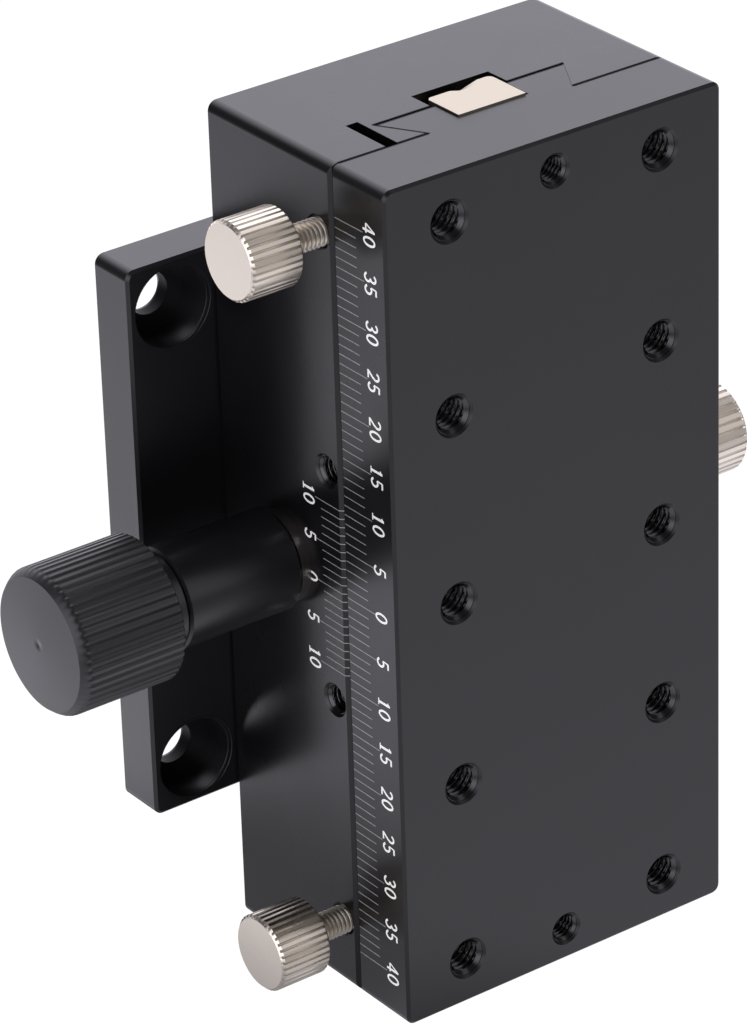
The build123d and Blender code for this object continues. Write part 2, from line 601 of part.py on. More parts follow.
def make_knob():
    """Knurled knob with a bevelled rim, a slightly crowned end face and a centre dimple."""
    crest = KNOB_DIAMETER / 2
    face = KNOB_FACE_DIAMETER / 2
    cut = KNOB_BACK_CHAMFER
    dimple = KNOB_DIMPLE_DIAMETER / 2
    crown_tip = KNOB_FACE - KNOB_CROWN
    envelope = turned_x([(KNOB_BACK, 0), (KNOB_BACK, crest - cut), (KNOB_BACK - cut, crest),
                         (KNOB_FACE + KNOB_BEVEL, crest), (KNOB_FACE, face), (crown_tip, dimple),
                         (crown_tip + dimple, 0)], AXIS_Y, DRIVE_HEIGHT)
    core = rod_x(KNOB_FACE + KNOB_BEVEL, crown_tip - OVERCUT, KNOB_DIAMETER, AXIS_Y, DRIVE_HEIGHT)
    barrel = knurled_barrel(KNOB_BACK, KNOB_FACE + KNOB_BEVEL, KNOB_DIAMETER, KNOB_GROOVE_COUNT,
                            KNOB_GROOVE_DEPTH, AXIS_Y, DRIVE_HEIGHT)
    knob = (barrel + core) & envelope
    knob -= rod_x(KNOB_BACK + OVERCUT, KNOB_BACK - KNOB_BORE_DEPTH, SHAFT_END_DIAMETER,
                  AXIS_Y, DRIVE_HEIGHT)
    hole_radius = SMALL_THREAD / 2 + THREAD_CLEARANCE
    return knob - knob_screw_place() * upright_rod(hole_radius, SHAFT_END_DIAMETER / 2, KNOB_DIAMETER)


def upright_rod(radius, start, length):
    """Cylinder along Z from a height upwards."""
    return Pos(0, 0, start) * Cylinder(radius, length, align=(Align.CENTER, Align.CENTER, Align.MIN))


def knob_screw_place():
    """Place on the knob's axis with its Z along the grub screw, outwards."""
    return Pos(KNOB_BACK - KNOB_BORE_DEPTH / 2, AXIS_Y, DRIVE_HEIGHT) * Rot(KNOB_SCREW_ANGLE, 0, 0)


def make_knob_screw():
    """Grub screw that holds the knob on its seat."""
    start = SHAFT_END_DIAMETER / 2
    screw = upright_rod(SMALL_THREAD / 2, start, KNOB_SCREW_LENGTH)
    socket = extrude(RegularPolygon(SMALL_KEY / 2, 6, major_radius=False), amount=SOCKET_DEPTH)
    return knob_screw_place() * (screw - Pos(0, 0, start + KNOB_SCREW_LENGTH - SOCKET_DEPTH) * socket)


def make_thumbscrew(face, outward, tip, standoff, diameter, length, grooves, z):
    """Thumbscrew in a side face: knurled head, plain rim at its outer end, and a shank to the tip."""
    inner = face + outward * standoff
    outer = inner + outward * length
    crest = diameter / 2
    rim = crest - HEAD_GROOVE_DEPTH
    cut = HEAD_CHAMFER
    envelope = turned_x([(inner, 0), (inner, crest - cut), (inner + outward * cut, crest),
                         (outer - outward * cut, crest), (outer, crest - cut), (outer, 0)],
                        SIDE_SCREW_Y, z)
    knurl_end = outer - outward * cut
    barrel = knurled_barrel(inner, knurl_end, diameter, grooves, HEAD_GROOVE_DEPTH, SIDE_SCREW_Y, z)
    rim_disc = rod_x(knurl_end, outer, 2 * rim, SIDE_SCREW_Y, z)
    head = (barrel + rim_disc) & envelope
    return head + rod_x(inner, tip, SMALL_THREAD, SIDE_SCREW_Y, z)


def make_clamp_screw(z):
    """Left thumbscrew, whose tip closes the flexing jaw on the dovetail."""
    return make_thumbscrew(-SIDE, -1, -SLIT_INNER - TIP_GAP, CLAMP_STANDOFF, CLAMP_HEAD_DIAMETER,
                           CLAMP_HEAD_LENGTH, CLAMP_GROOVE_COUNT, z)


def lock_plug_end():
    """Station of the lock plug's outer end."""
    return DOVETAIL_NECK / 2 + SIDE_SCREW_INSET * FLANK_SLOPE + LOCK_PLUG_LENGTH


def make_lock_plug():
    """Brass plug between the lock screw and the dovetail, its nose cut to the flank."""
    plug = rod_x(DOVETAIL_NECK / 2, lock_plug_end(), SMALL_THREAD, SIDE_SCREW_Y, LOCK_HEIGHT)
    return plug - way_cutter()


def make_lock_screw():
    """Right thumbscrew, which presses the plug on the table's dovetail."""
    return make_thumbscrew(SIDE, 1, lock_plug_end() + TIP_GAP, LOCK_STANDOFF, LOCK_HEAD_DIAMETER,
                           LOCK_HEAD_LENGTH, LOCK_GROOVE_COUNT, LOCK_HEIGHT)


def make_jaw_screws():
    """Two grub screws that set the play of the flexing jaw."""
    tip = -SLIT_INNER - THREAD_CLEARANCE
    head = tip - JAW_SCREW_LENGTH
    screws = []
    for z in (-JAW_SCREW_HEIGHT, JAW_SCREW_HEIGHT):
        screw = rod_x(head, tip, SMALL_THREAD, SIDE_SCREW_Y, z)
        screws.append(screw - key_socket_x(head, SMALL_KEY, 1, SIDE_SCREW_Y, z))
    return screws


def make_bush_screw():
    """Grub screw from behind that holds the bush in the base."""
    tip = AXIS_Y + BORE_RADIUS
    screw = rod_y(tip, tip + BUSH_SCREW_LENGTH, SMALL_THREAD, BUSH_SCREW_X, DRIVE_HEIGHT)
    return screw - key_socket_y(tip + BUSH_SCREW_LENGTH, SMALL_KEY, BUSH_SCREW_X, DRIVE_HEIGHT)


def write_node(name, solids):
    """Writes one node's STEP file; several solids become one group."""
    group = solids if isinstance(solids, list) else [solids]
    shape = group[0] if len(group) == 1 else Compound(children=group)
    export_step(shape, os.path.join("parts", name + ".step"))


def main():
    """Builds every piece and writes it to its own node."""
    os.makedirs("parts", exist_ok=True)
    nodes = {
        "base_body": make_base_body(),
        "mounting_plate": make_mounting_plate(),
        "plate_screws": make_plate_screws(),
        "drive_bush": make_drive_bush(),
        "drive_sleeve": make_drive_sleeve(),
        "shaft_end_bush": make_end_bush(),
        "bush_set_screw": make_bush_screw(),
        "jaw_set_screws": make_jaw_screws(),
        "lock_plug": make_lock_plug(),
        "slide_table": make_table(),
        "helical_rack": make_rack(),
        "rack_screws": make_rack_screws(),
        "pinion_shaft": make_pinion_shaft(),
        "thrust_collar": make_thrust_collar(),
        "drag_washer": make_drag_washer(),
        "drive_knob": make_knob(),
        "knob_set_screw": make_knob_screw(),
        "upper_clamp_screw": make_clamp_screw(CLAMP_HEIGHT),
        "lower_clamp_screw": make_clamp_screw(-CLAMP_HEIGHT),
        "lock_screw": make_lock_screw(),
    }
    for name, solids in nodes.items():
        write_node(name, solids)
    print("pinion pitch radius", round(PITCH_RADIUS, 4), "axis y", round(AXIS_Y, 3))


main()
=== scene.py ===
"""Looks of a hand-driven linear stage: anodised blocks, engraved scales, knurled heads and threads."""

from __future__ import annotations

import json
import logging
import math
from dataclasses import dataclass
from enum import Enum

import bmesh
import bpy
import numpy as np
from mathutils import Matrix, Vector

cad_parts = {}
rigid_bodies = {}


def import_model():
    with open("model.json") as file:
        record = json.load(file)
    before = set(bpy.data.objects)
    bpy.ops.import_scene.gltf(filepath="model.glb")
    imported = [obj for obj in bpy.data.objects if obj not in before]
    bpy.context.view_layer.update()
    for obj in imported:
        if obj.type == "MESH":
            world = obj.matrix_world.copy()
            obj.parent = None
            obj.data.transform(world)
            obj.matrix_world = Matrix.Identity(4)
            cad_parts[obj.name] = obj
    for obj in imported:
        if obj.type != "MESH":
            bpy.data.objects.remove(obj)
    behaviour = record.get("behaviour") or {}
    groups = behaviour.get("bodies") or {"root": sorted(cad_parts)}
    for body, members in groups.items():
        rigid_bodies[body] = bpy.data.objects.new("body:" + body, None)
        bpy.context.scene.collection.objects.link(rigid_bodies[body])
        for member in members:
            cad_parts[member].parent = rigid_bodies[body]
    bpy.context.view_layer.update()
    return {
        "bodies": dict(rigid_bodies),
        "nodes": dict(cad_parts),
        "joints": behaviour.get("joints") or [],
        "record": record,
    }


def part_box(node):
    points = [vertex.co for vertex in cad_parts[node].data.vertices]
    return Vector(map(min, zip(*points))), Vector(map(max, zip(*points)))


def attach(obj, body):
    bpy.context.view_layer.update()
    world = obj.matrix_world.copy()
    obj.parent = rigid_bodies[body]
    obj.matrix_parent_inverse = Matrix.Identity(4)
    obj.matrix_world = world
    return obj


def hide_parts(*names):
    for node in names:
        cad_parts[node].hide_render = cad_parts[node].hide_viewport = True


LOG = logging.getLogger("stage")
MM = 0.001
TURN = 2.0 * math.pi

Array = np.ndarray
Pair = tuple[float, float]
Triple = tuple[float, float, float]
Socket = bpy.types.NodeSocket
Material = bpy.types.Material


class Along(Enum):
    """The world axis that a turned or threaded piece is built along."""

    X = 0
    Y = 1


@dataclass(frozen=True)
class Axis:
    """A line parallel to a world axis, with places in millimetres.

    Stations count along the axis; the two angles' zero directions are the two other world axes in
    right-handed order, so that a growing angle follows the right-hand rule about the axis.
    """

    along: Along
    x: float
    y: float
    z: float

    def place(self, station: Array, radius: Array, angle: Array) -> Array:
        """Point at a station, a distance from the axis and an angle about it.

        Args:
            station: millimetres along the axis.
            radius: millimetres from the axis.
            angle: radians about the axis; the three arrays broadcast.

        Returns:
            An array with a last dimension of x, y and z in metres.
        """
        first = radius * np.cos(angle)
        second = radius * np.sin(angle)
        if self.along is Along.X:
            parts = (station + self.x, self.y + first, self.z + second)
        else:
            parts = (self.x + second, station + self.y, self.z + first)
        return np.stack(np.broadcast_arrays(*parts), axis=-1) * MM


def quad_grid(rows: int, columns: int, close_rows: bool) -> Array:
    """Corner numbers of the quads of a grid whose points are numbered row by row.

    Args:
        rows: number of rows of points.
        columns: number of points in a row, whose last point joins its first.
        close_rows: whether the last row joins the first.

    Returns:
        An integer array of four corners for each quad.
    """
    row = np.arange(rows if close_rows else rows - 1)[:, None]
    column = np.arange(columns)[None, :]
    next_row = (row + 1) % rows
    next_column = (column + 1) % columns
    corners = (row * columns + column, row * columns + next_column,
               next_row * columns + next_column, next_row * columns + column)
    return np.stack(np.broadcast_arrays(*corners), axis=-1).reshape(-1, 4)


class MeshWriter:
    """Collects closed surfaces of one piece and writes them as one mesh at the origin."""

    def __init__(self, name: str) -> None:
        """Starts an empty piece.

        Args:
            name: the piece's name.
        """
        self.name = name
        self.points: list[Array] = []
        self.faces: list[list[int]] = []
        self.count = 0

    def add(self, points: Array, faces: Array) -> None:
        """Adds points and the faces between them.

        Args:
            points: an array of points in metres, whose last dimension is 3.
            faces: corner numbers of each face, counted from the first of these points.
        """
        self.points.append(points.reshape(-1, 3))
        self.faces.extend((np.asarray(faces) + self.count).tolist())
        self.count += points.size // 3

    def add_grid(self, grid: Array, close_rows: bool = False) -> None:
        """Adds a surface from a rows by columns by 3 array of points, closed along its columns."""
        rows, columns = grid.shape[:2]
        self.add(grid, quad_grid(rows, columns, close_rows))

    def add_bar(self, rings: Array) -> None:
        """Adds a closed four-sided bar.

        Args:
            rings: its sections, as a rows by 4 by 3 array in metres.
        """
        first = self.count
        self.add_grid(rings)
        for start in (first, self.count - 4):
            self.faces.append([start + k for k in range(4)])

    def add_turned(self, grid: Array) -> None:
        """Adds a closed turned surface: the first and last rows, each on the axis, become a point.

        Args:
            grid: rows by columns by 3 array, in metres, that closes along its columns.
        """
        rows, columns = grid.shape[:2]
        inner = grid[1:-1].reshape(-1, 3)
        points = np.concatenate([inner, grid[:1, 0], grid[-1:, 0]])
        first_pole, last_pole = len(inner), len(inner) + 1
        here = np.arange(columns)
        after = (here + 1) % columns
        last_row = (rows - 3) * columns
        start = self.count
        self.add(points, quad_grid(rows - 2, columns, False))
        fans = [np.stack([np.full(columns, first_pole), after, here], axis=-1),
                np.stack([np.full(columns, last_pole), last_row + here, last_row + after], axis=-1)]
        self.faces.extend((np.concatenate(fans) + start).tolist())

    def write(self, material: Material, sharp_degrees: float = 32.0) -> bpy.types.Object:
        """Makes the object, with outward faces and smooth shading up to an edge angle.

        Args:
            material: the finish of the whole piece.
            sharp_degrees: edges that turn by more than this stay crisp.

        Returns:
            The new object, at the origin and unscaled.
        """
        mesh = bpy.data.meshes.new(self.name)
        mesh.from_pydata(np.concatenate(self.points).tolist(), [], self.faces)
        work = bmesh.new()
        work.from_mesh(mesh)
        bmesh.ops.recalc_face_normals(work, faces=work.faces)
        work.to_mesh(mesh)
        work.free()
        mesh.shade_smooth()
        mesh.set_sharp_from_angle(angle=math.radians(sharp_degrees))
        mesh.materials.append(material)
        piece = bpy.data.objects.new(self.name, mesh)
        bpy.context.scene.collection.objects.link(piece)
        return piece


def knurled_grid(axis: Axis, profile: list[Triple], grooves: int, share: float) -> Array:
    """Surface of revolution with straight grooves.

    The radius is the profile's less depth times a rounded V that is 1 in a groove's middle and 0 on
    the land: the V is 1 - |distance to the middle| / half the groove, and a sine rounds it.

    Args:
        axis: the line turned about.
        profile: station, radius of the land and depth of a groove at each point, in millimetres.
        grooves: number of grooves.
        share: part of each pitch that is groove.

    Returns:
        Grid of points in metres.
    """
    flank = 0.55
    samples = np.array([-1.0, -flank, 0.0, flank, 1.0, 1.0 / share]) * share / 2.0
    phase = (np.arange(grooves)[:, None] + samples[None, :]).reshape(-1)
    angle = phase * TURN / grooves
    offset = np.abs((phase + 0.5) % 1.0 - 0.5)
    wave = np.sin(np.clip(1.0 - offset / (share / 2.0), 0.0, 1.0) * TURN / 4.0)
    stations, radii, depths = (np.array(column)[:, None] for column in zip(*profile))
    radius = radii - depths * wave[None, :]
    return axis.place(stations, np.maximum(radius, 0.0), angle[None, :])


@dataclass(frozen=True)
class Thread:
    """Metric thread form in millimetres: its pitch and the radii of its crest and root.

    A cut thread's flat root takes root_share of the triangle wave's height, and its flank rises over
    flank_share of it.
    """

    pitch: float
    outer: float
    inner: float
    root_share: float = 0.3
    flank_share: float = 0.6

    def ridge(self, station: Array, angle: Array) -> Array:
        """Height of the thread from 0 in the groove to 1 on the ridge.

        The phase is the station over the pitch less the angle over a turn, which is a right-hand
        helix. The height is a triangle wave with its top and bottom cut flat.

        Args:
            station: millimetres along the axis.
            angle: radians about the axis.

        Returns:
            The height at each place.
        """
        phase = (station / self.pitch - angle / TURN) % 1.0
        wave = 1.0 - np.abs(2.0 * phase - 1.0)
        return np.clip((wave - self.root_share) / self.flank_share, 0.0, 1.0)

    def rounded_ridge(self, station: Array, angle: Array) -> Array:
        """Height of a rolled thread, whose crests and roots are round: a raised cosine of the phase."""
        phase = station / self.pitch - angle / TURN
        return 0.5 - 0.5 * np.cos(TURN * phase)


def threaded_hole(writer: MeshWriter, axis: Axis, thread: Thread, start: float, end: float) -> None:
    """Adds the inside of a tapped hole as a closed sleeve with a helical inner wall.

    A cone leads from the mouth down to the ridges. Behind it the inner radius is the outer thread
    radius less the ridge's height; the outer wall is a plain cylinder inside the surrounding metal.

    Args:
        writer: the piece that the sleeve is added to.
        axis: the hole's axis.
        thread: the thread's form.
        start: station of the mouth.
        end: station of the inner end.
    """
    columns, rows_a_pitch, fade_pitches, wall_thickness = 36, 14, 0.6, 0.08
    rows = int(abs(end - start) / thread.pitch * rows_a_pitch) + 2
    cone_end = start + math.copysign(thread.outer - thread.inner, end - start)
    station = np.linspace(cone_end, end, rows)[1:, None]
    angle = (np.arange(columns) * TURN / columns)[None, :]
    fade = np.clip(np.abs(end - station) / (fade_pitches * thread.pitch), 0.0, 1.0)
    depth = (thread.outer - thread.inner) * thread.ridge(station, angle) * fade
    cone_radius = np.array([[thread.outer], [thread.inner]])
    cone = axis.place(np.array([[start], [cone_end]]), cone_radius, angle)
    ridges = axis.place(station, thread.outer - depth, angle)
    wall_radius = np.full((2, 1), thread.outer + wall_thickness)
    wall = axis.place(np.array([[end], [start]]), wall_radius, angle)
    writer.add_grid(np.concatenate([cone, ridges, wall]), close_rows=True)


def threaded_rod(writer: MeshWriter, axis: Axis, thread: Thread, start: float, end: float) -> None:
    """Adds a threaded shank: the root radius plus the ridge's height, faded out at the tip.

    Args:
        writer: the piece that the shank is added to.
        axis: the screw's axis.
        thread: the thread's form.
        start: station of the plain end, inside the head.
        end: station of the tip.
    """
    columns, rows_a_pitch, fade_pitches = 32, 18, 0.8
    rows = int(abs(end - start) / thread.pitch * rows_a_pitch) + 2
    station = np.linspace(start, end, rows)[:, None]
    angle = (np.arange(columns) * TURN / columns)[None, :]
    fade = np.clip(np.abs(end - station) / (fade_pitches * thread.pitch), 0.0, 1.0)
    height = (thread.outer - thread.inner) * thread.rounded_ridge(station, angle) * fade
    body = axis.place(station, thread.inner + height, angle)
    ends = [axis.place(np.full((1, 1), at), np.zeros((1, 1)), angle) for at in (start, end)]
    writer.add_turned(np.concatenate([ends[0], body, ends[1]]))


@dataclass(frozen=True)
class Strip:
    """A thin bar on a surface, in millimetres.

    It has a middle line, a unit direction across it, a half width, and a height by which it stands
    out of the surface. It reaches ROOT times that height into the surface.
    """

    line: Array
    across: Array
    half_width: float
    height: float

    ROOT = 3.0

    def add(self, writer: MeshWriter, outward: Array) -> None:
        """Adds the strip as a closed bar: a rectangle carried along the middle line.

        Args:
            writer: the piece that the bar is added to.
            outward: unit direction away from the surface at each point of the line.
        """
        side = self.across * self.half_width
        up = outward * self.height
        corners = [self.line - side - self.ROOT * up, self.line + side - self.ROOT * up,
                   self.line + side + up, self.line - side + up]
        writer.add_bar(np.stack(corners, axis=1) * MM)


class Node:
    """Short calls for building shader trees."""

    def __init__(self, tree: bpy.types.NodeTree) -> None:
        """Keeps the tree that nodes are added to."""
        self.tree = tree

    def new(self, kind: str, inputs: dict | None = None, **values: object) -> bpy.types.Node:
        """Adds a node, sets its own properties and then feeds its inputs.

        Args:
            kind: the node's type.
            inputs: for an input's name or number, its value or the socket that it is linked to.
            values: the node's own properties.

        Returns:
            The new node.
        """
        node = self.tree.nodes.new(kind)
        for key, value in values.items():
            setattr(node, key, value)
        for key, value in (inputs or {}).items():
            if isinstance(value, Socket):
                self.tree.links.new(value, node.inputs[key])
            else:
                node.inputs[key].default_value = value
        return node


class EffectGroups:
    """Shader node groups that several finishes share."""

    GRAIN_DETAIL = 2.0
    PATCH_SCALE = 90.0
    PATCH_DETAIL = 3.0
    PATCH_RANGE = (0.25, 0.75)

    def __init__(self) -> None:
        """Makes the grain: fine and even as a height, and broad soft patches as a mask from 0 to 1."""
        self.grain = bpy.data.node_groups.new("fine_grain", "ShaderNodeTree")
        for name, way, kind in (("Vector", "INPUT", "Vector"), ("Size", "INPUT", "Float"),
                                ("Height", "OUTPUT", "Float"), ("Mask", "OUTPUT", "Float")):
            self.grain.interface.new_socket(name, in_out=way, socket_type="NodeSocket" + kind)
        build = Node(self.grain)
        source = build.new("NodeGroupInput")
        vector, size = source.outputs["Vector"], source.outputs["Size"]
        inverse = build.new("ShaderNodeMath", {0: 1.0, 1: size}, operation="DIVIDE")
        fine = build.new("ShaderNodeTexNoise", {
            "Vector": vector, "Scale": inverse.outputs[0], "Detail": self.GRAIN_DETAIL})
        broad = build.new("ShaderNodeTexNoise", {
            "Vector": vector, "Scale": self.PATCH_SCALE, "Detail": self.PATCH_DETAIL})
        low, high = self.PATCH_RANGE
        mask = build.new("ShaderNodeMapRange", {
            "Value": broad.outputs["Fac"], "From Min": low, "From Max": high},
            interpolation_type="SMOOTHSTEP")
        build.new("NodeGroupOutput", {"Height": fine.outputs["Fac"], "Mask": mask.outputs["Result"]})


def clear_tree(owner: Material | bpy.types.World) -> Node:
    """Empties a node tree.

    Args:
        owner: the material or world that the tree belongs to.

    Returns:
        A builder for the tree.
    """
    owner.use_nodes = True
    owner.node_tree.nodes.clear()
    return Node(owner.node_tree)


class Surface:
    """A finish under way: its material, its tree and the shared grain."""

    def __init__(self, name: str, effects: EffectGroups, size: float) -> None:
        """Starts the material.

        Args:
            name: its name.
            effects: the shared node groups.
            size: the grain's size in metres.
        """
        self.material = bpy.data.materials.new(name)
        self.build = clear_tree(self.material)
        place = self.build.new("ShaderNodeTexCoord").outputs["Object"]
        grain = self.build.new("ShaderNodeGroup", {"Vector": place, "Size": size},
                               node_tree=effects.grain)
        self.height, self.mask = grain.outputs["Height"], grain.outputs["Mask"]

    def colour(self, factor: Socket, low: tuple, high: tuple) -> Socket:
        """Colour that runs from low to high as the factor goes from 0 to 1."""
        ends = {"Factor": factor, "A": (*low, 1.0), "B": (*high, 1.0)}
        return self.build.new("ShaderNodeMix", ends, data_type="RGBA").outputs["Result"]

    def gloss(self, low: float, high: float) -> Socket:
        """Roughness that runs from low to high as the mask goes from 0 to 1."""
        ends = {"Value": self.mask, "To Min": low, "To Max": high}
        return self.build.new("ShaderNodeMapRange", ends).outputs["Result"]

    def bump(self, distance: float) -> Socket:
        """Normal over the grain, whose height is a distance in metres."""
        grain = {"Distance": distance, "Height": self.height}
        return self.build.new("ShaderNodeBump", grain).outputs["Normal"]

    def finish(self, inputs: dict) -> Material:
        """Adds the shader.

        Args:
            inputs: what the shader's inputs are fed with.

        Returns:
            The whole material.
        """
        shader = self.build.new("ShaderNodeBsdfPrincipled", inputs)
        self.build.new("ShaderNodeOutputMaterial", {"Surface": shader.outputs["BSDF"]})
        return self.material


@dataclass(frozen=True)
class Anodised:
    """Black anodised aluminium: a dark dyed surface under a hard satin oxide layer."""

    name: str
    shade: float
    roughness: float
    index: float = 1.6
    tint: Triple = (1.0, 0.98, 1.08)
    shade_change: float = 0.15
    gloss_change: float = 0.02
    grain: float = 0.00012
    grain_height: float = 0.000002

    def build(self, effects: EffectGroups) -> Material:
        """Makes the material: grain in the normal, and slow changes of colour and gloss.

        Args:
            effects: the shared node groups.

        Returns:
            The material.
        """
        surface = Surface(self.name, effects, self.grain)
        low, high = (tuple(self.shade * (1.0 + change) * k for k in self.tint)
                     for change in (-self.shade_change, self.shade_change))
        gloss = surface.gloss(self.roughness - self.gloss_change, self.roughness + self.gloss_change)
        return surface.finish({"Base Color": surface.colour(surface.mask, low, high),
                               "Roughness": gloss, "IOR": self.index,
                               "Normal": surface.bump(self.grain_height)})


@dataclass(frozen=True)
class Metal:
    """Bare or plated metal with a fine grain."""

    name: str
    colour: Triple
    roughness: float
    dulled: float = 0.9
    gloss_range: Pair = (-0.04, 0.05)
    grain: float = 0.00008
    grain_height: float = 0.000002

    def build(self, effects: EffectGroups) -> Material:
        """Makes the material: slightly uneven colour and gloss, fine grain in the normal.

        Args:
            effects: the shared node groups.

        Returns:
            The material.
        """
        surface = Surface(self.name, effects, self.grain)
        low = tuple(k * self.dulled for k in self.colour)
        gloss = surface.gloss(*(self.roughness + change for change in self.gloss_range))
        return surface.finish({"Base Color": surface.colour(surface.mask, low, self.colour),
                               "Roughness": gloss, "Metallic": 1.0,
                               "Normal": surface.bump(self.grain_height)})


@dataclass(frozen=True)
class Marking:
    """Engraved marks: the dye is burnt off, so part of the surface is bare bright metal.

    The numerals also glow faintly: painted light, which keeps them bright where their reflection is
    dark.
    """

    name: str
    dark: float
    light: float
    bare: float
    # painted light: an emission strength that makes the marks glow though they are no lamp
    glow: float = 0.0
    tint: Triple = (1.0, 1.0, 0.95)
    gloss_range: Pair = (0.36, 0.44)
    grain: float = 0.00015

    def build(self, effects: EffectGroups) -> Material:
        """Makes the material: colour from the grain, gloss from its mask.

        Args:
            effects: the shared node groups.

        Returns:
            The material.
        """
        surface = Surface(self.name, effects, self.grain)
        low, high = (tuple(k * level for k in self.tint) for level in (self.dark, self.light))
        # The emission strength is painted light: the marks glow though they are no lamp.
        return surface.finish({"Base Color": surface.colour(surface.height, low, high),
                               "Roughness": surface.gloss(*self.gloss_range),
                               "Metallic": self.bare, "Emission Strength": self.glow})


class Finishes:
    """Every material of the stage, made once."""

    def __init__(self) -> None:
        """Builds the shared effects and then the finishes."""
        effects = EffectGroups()
        self.table = Anodised("table_anodised", shade=0.009, roughness=0.29, index=1.55).build(effects)
        self.base = Anodised("base_anodised", shade=0.004, roughness=0.28, index=1.585).build(effects)
        self.plate = Anodised("plate_anodised", shade=0.009, roughness=0.3).build(effects)
        self.knob = Anodised("knob_anodised", shade=0.016, roughness=0.36).build(effects)
        self.sleeve = Anodised("sleeve_anodised", shade=0.011, roughness=0.3).build(effects)
        # Painted shade: a darker, rough, weakly reflecting copy of the anodising for the seam strips
        # and the linings of the through holes.
        self.dull = Anodised("painted_shade_anodised", shade=0.006, roughness=0.6, index=1.3).build(effects)
        # Painted shade: the threads inside the tapped holes take a darker copy of the anodising, so
        # that the holes look darker.
        self.thread = Anodised("thread_anodised_painted_shade", shade=0.002, roughness=0.18,
                               index=1.75).build(effects)
        self.collar = Anodised("collar_anodised", shade=0.012, roughness=0.3).build(effects)
        self.plastic = Anodised("washer_plastic", shade=0.03, roughness=0.5, index=1.45).build(effects)
        self.nickel = Metal("plated_nickel", (0.892, 0.818, 0.697), roughness=0.28).build(effects)
        self.rack = Metal("milled_steel", (0.56, 0.5, 0.4), roughness=0.34).build(effects)
        self.shaft = Metal("ground_steel", (0.6, 0.58, 0.55), roughness=0.28).build(effects)
        self.brass = Metal("dulled_brass", (0.24, 0.215, 0.205), roughness=0.36).build(effects)
        self.blackened = Metal("blackened_steel", (0.05, 0.05, 0.05), roughness=0.4).build(effects)
        self.line = Marking("engraved_line", dark=0.3, light=0.6, bare=0.3).build(effects)
        # The numerals' faint glow is painted light.
        self.numeral = Marking("engraved_numeral_painted_glow", dark=0.9, light=1.0, bare=0.4,
                               glow=0.3).build(effects)


@dataclass
class Assembly:
    """What every sub-assembly is built with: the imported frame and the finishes.

    Its tapped holes have a mouth that is MOUTH deep, in millimetres, and a LARGE or a SMALL thread.
    """

    frame: dict
    finishes: Finishes

    MOUTH = 0.3
    LARGE = Thread(pitch=0.7, outer=1.96, inner=1.6)
    SMALL = Thread(pitch=0.5, outer=1.51, inner=1.25)

    def dress(self, material: Material, *nodes: str) -> None:
        """Gives carried-over nodes their finish.

        Args:
            material: the finish.
            nodes: the nodes' names.
        """
        for node in nodes:
            for slot in self.frame["nodes"][node].material_slots:
                slot.material = material
            LOG.info("dressed %s", node)


def seat(piece: bpy.types.Object, body: str, slot: str, *replaced: str) -> None:
    """Attaches a new piece to its body and hides the nodes that it stands for.

    Args:
        piece: the piece.
        body: the body that it rides on.
        slot: the record's material slot; not used.
        replaced: the node that it stands for, if any.
    """
    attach(piece, body)
    if replaced:
        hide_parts(*replaced)
    LOG.info("built %s", piece.name)


def box_mm(node: str) -> tuple[list[float], list[float]]:
    """Lowest and highest corners of a node in millimetres."""
    low, high = ([float(k) / MM for k in corner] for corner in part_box(node))
    return low, high


class DigitPen:
    """Draws upright numerals as broad strokes in a box that is 1 high and WIDTH wide."""

    WIDTH = 0.56
    THICK = 0.062
    THIN = 0.042

    def strokes(self, digit: str) -> list[tuple[Array, float]]:
        """Strokes of a digit: ovals, bows, stems, slopes, bars and feet.

        Args:
            digit: one of 0 to 5.

        Returns:
            For each stroke its middle line, x across and y up, and its half width.
        """
        arc, thick, thin = self.arc, self.THICK, self.THIN
        table = {
            "0": [(arc((0.28, 0.5), (0.215, 0.44), -90, 270, 33), thick)],
            "1": [([(0.29, 0.0), (0.29, 0.97)], 0.07),
                  ([(0.13, 0.8), (0.2, 0.83), (0.29, 0.93)], thin),
                  ([(0.1, 0.035), (0.48, 0.035)], 0.036)],
            "2": [([*arc((0.27, 0.7), (0.2, 0.235), 165, -20, 18), (0.36, 0.42), (0.09, 0.08)], thick),
                  ([(0.05, 0.055), (0.5, 0.055)], 0.055)],
            "3": [(arc((0.26, 0.72), (0.185, 0.215), 160, -85, 18), thick),
                  (arc((0.26, 0.28), (0.215, 0.235), 90, -160, 20), thick)],
            "4": [([(0.38, 0.0), (0.38, 0.97)], thick),
                  ([(0.36, 0.93), (0.2, 0.6), (0.04, 0.29)], thin),
                  ([(0.02, 0.26), (0.54, 0.26)], 0.05)],
            "5": [([(0.12, 0.935), (0.47, 0.935)], thick),
                  ([(0.14, 0.95), (0.12, 0.75), (0.1, 0.53)], thin),
                  (arc((0.25, 0.31), (0.22, 0.255), 130, -155, 20), thick)],
        }
        return [(np.array(line), half) for line, half in table[digit]]

    @staticmethod
    def arc(centre: Pair, radii: Pair, start: float, end: float, steps: int) -> Array:
        """Points of an ellipse's arc: centre plus radii times cosine and sine of the angle."""
        angle = np.radians(np.linspace(start, end, steps))
        return np.array(centre) + np.array(radii) * np.stack([np.cos(angle), np.sin(angle)], -1)


